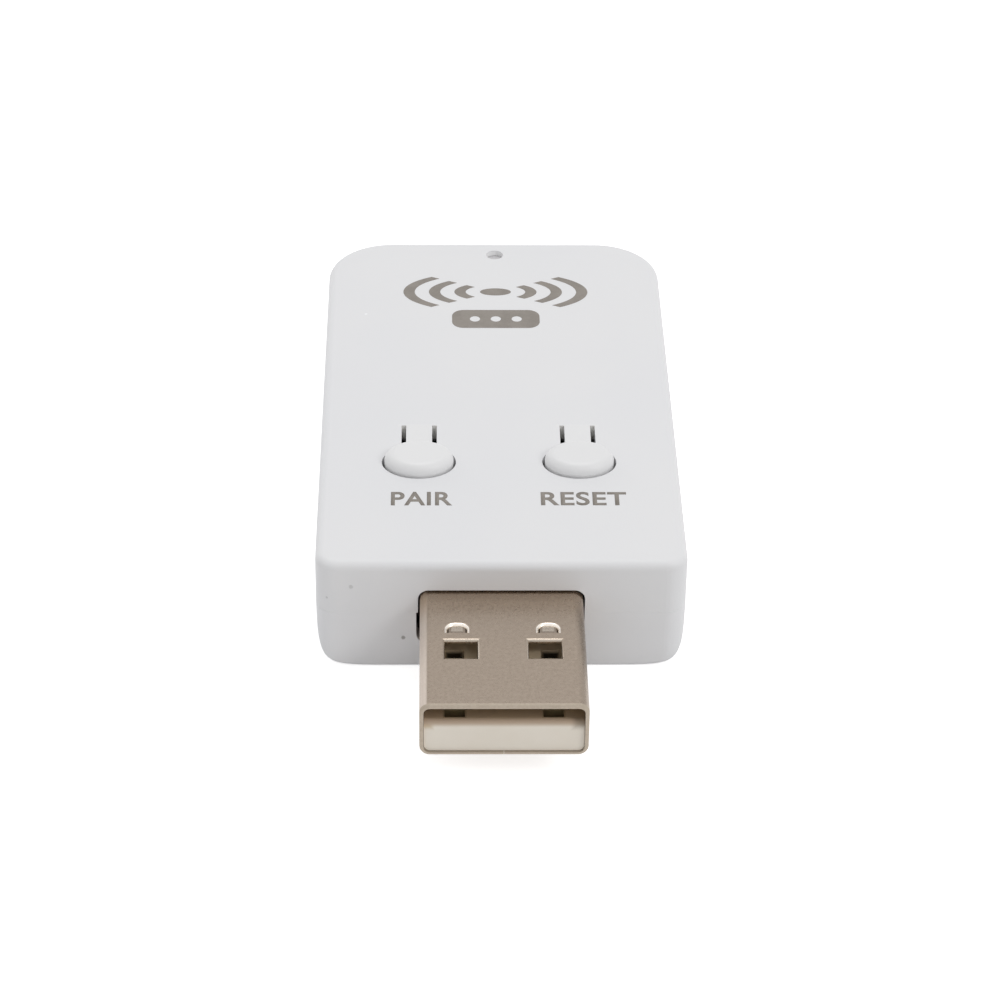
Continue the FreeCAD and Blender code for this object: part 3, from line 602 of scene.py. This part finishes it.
def printed_word(name, word, left, right, low, high):
    """A word in a plain upright face, fitted to its place on the cover in millimetres."""
    letters = bpy.data.curves.new(name + "_letters", "FONT")
    letters.body = word
    letters.size = 1.0
    letters.space_character = 1.06
    letters.offset = 0.02
    letters.resolution_u = 6
    carrier = bpy.data.objects.new(name + "_letters", letters)
    bpy.context.scene.collection.objects.link(carrier)
    bpy.context.view_layer.update()
    flat = bpy.data.meshes.new_from_object(carrier)
    bpy.data.objects.remove(carrier)
    form = bmesh.new()
    form.from_mesh(flat)
    bpy.data.meshes.remove(flat)
    bmesh.ops.remove_doubles(form, verts=form.verts[:], dist=1e-5)
    xs = [vert.co.x for vert in form.verts]
    ys = [vert.co.y for vert in form.verts]
    scale_x = (right - left) * mm / (max(xs) - min(xs))
    scale_y = (high - low) * mm / (max(ys) - min(ys))
    bmesh.ops.translate(form, vec=(-min(xs), -min(ys), 0), verts=form.verts[:])
    bmesh.ops.scale(form, vec=(scale_x, scale_y, 1), verts=form.verts[:])
    bmesh.ops.translate(form, vec=(left * mm, low * mm, ink_top), verts=form.verts[:])
    printed(name, form)


word_low = front_y + 7.57
word_high = front_y + 9.35
printed_word("pair_word", "PAIR", -8.20, -3.62, word_low, word_high)
printed_word("reset_word", "RESET", 3.05, 9.49, word_low, word_high)

# The sign for radio waves: a dot with three arcs on either side, drawn round and then stretched
wave_centre = Vector((0.085, front_y + 38.6)) * mm
wave_dot = 0.85 * mm
wave_radii = [radius * mm for radius in (1.95, 3.35, 4.75)]
wave_line = 0.62 * mm
wave_half_angle = math.radians(46)
wave_stretch = (1.5, 0.66, 1)
wave_form = bmesh.new()
bmesh.ops.create_circle(wave_form, cap_ends=True, segments=40, radius=wave_dot)
for wave_radius in wave_radii:
    for heading in (0.0, math.pi):
        inner = wave_form.verts.new((wave_radius - wave_line / 2, 0, 0))
        outer = wave_form.verts.new((wave_radius + wave_line / 2, 0, 0))
        arc_end = wave_form.edges.new((inner, outer))
        start = Matrix.Rotation(heading - wave_half_angle, 3, "Z")
        bmesh.ops.rotate(wave_form, cent=(0, 0, 0), matrix=start, verts=[inner, outer])
        bmesh.ops.spin(wave_form, geom=[inner, outer, arc_end], cent=(0, 0, 0), axis=(0, 0, 1),
                       angle=2 * wave_half_angle, steps=28)
bmesh.ops.scale(wave_form, vec=wave_stretch, verts=wave_form.verts[:])
bmesh.ops.translate(wave_form, vec=(*wave_centre, ink_top), verts=wave_form.verts[:])
printed("wave_sign", wave_form)

# The rounded bar, with three round holes that leave the cover bare
bar_centre = Vector((0.055, front_y + 34.32)) * mm
bar_length = 7.13 * mm
bar_width = 2.79 * mm
bar_corner = 0.95 * mm
dot_radius = 0.42 * mm
dot_step = 1.7 * mm
bar_form = bmesh.new()
corners = [bar_form.verts.new((x * bar_length / 2, y * bar_width / 2, 0))
           for x, y in ((-1, -1), (1, -1), (1, 1), (-1, 1))]
bar_form.faces.new(corners)
bmesh.ops.bevel(bar_form, geom=bar_form.verts[:], offset=bar_corner, segments=10, profile=0.5,
                affect="VERTICES", material=-1)
bmesh.ops.delete(bar_form, geom=bar_form.faces[:], context="FACES_ONLY")
for dot in (-1, 0, 1):
    shift = Matrix.Translation((dot * dot_step, 0, 0))
    bmesh.ops.create_circle(bar_form, cap_ends=False, segments=28, radius=dot_radius, matrix=shift)
bmesh.ops.triangle_fill(bar_form, use_beauty=True, use_dissolve=False, edges=bar_form.edges[:],
                        normal=(0, 0, 1))
bmesh.ops.translate(bar_form, vec=(*bar_centre, ink_top), verts=bar_form.verts[:])
printed("dotted_bar", bar_form)
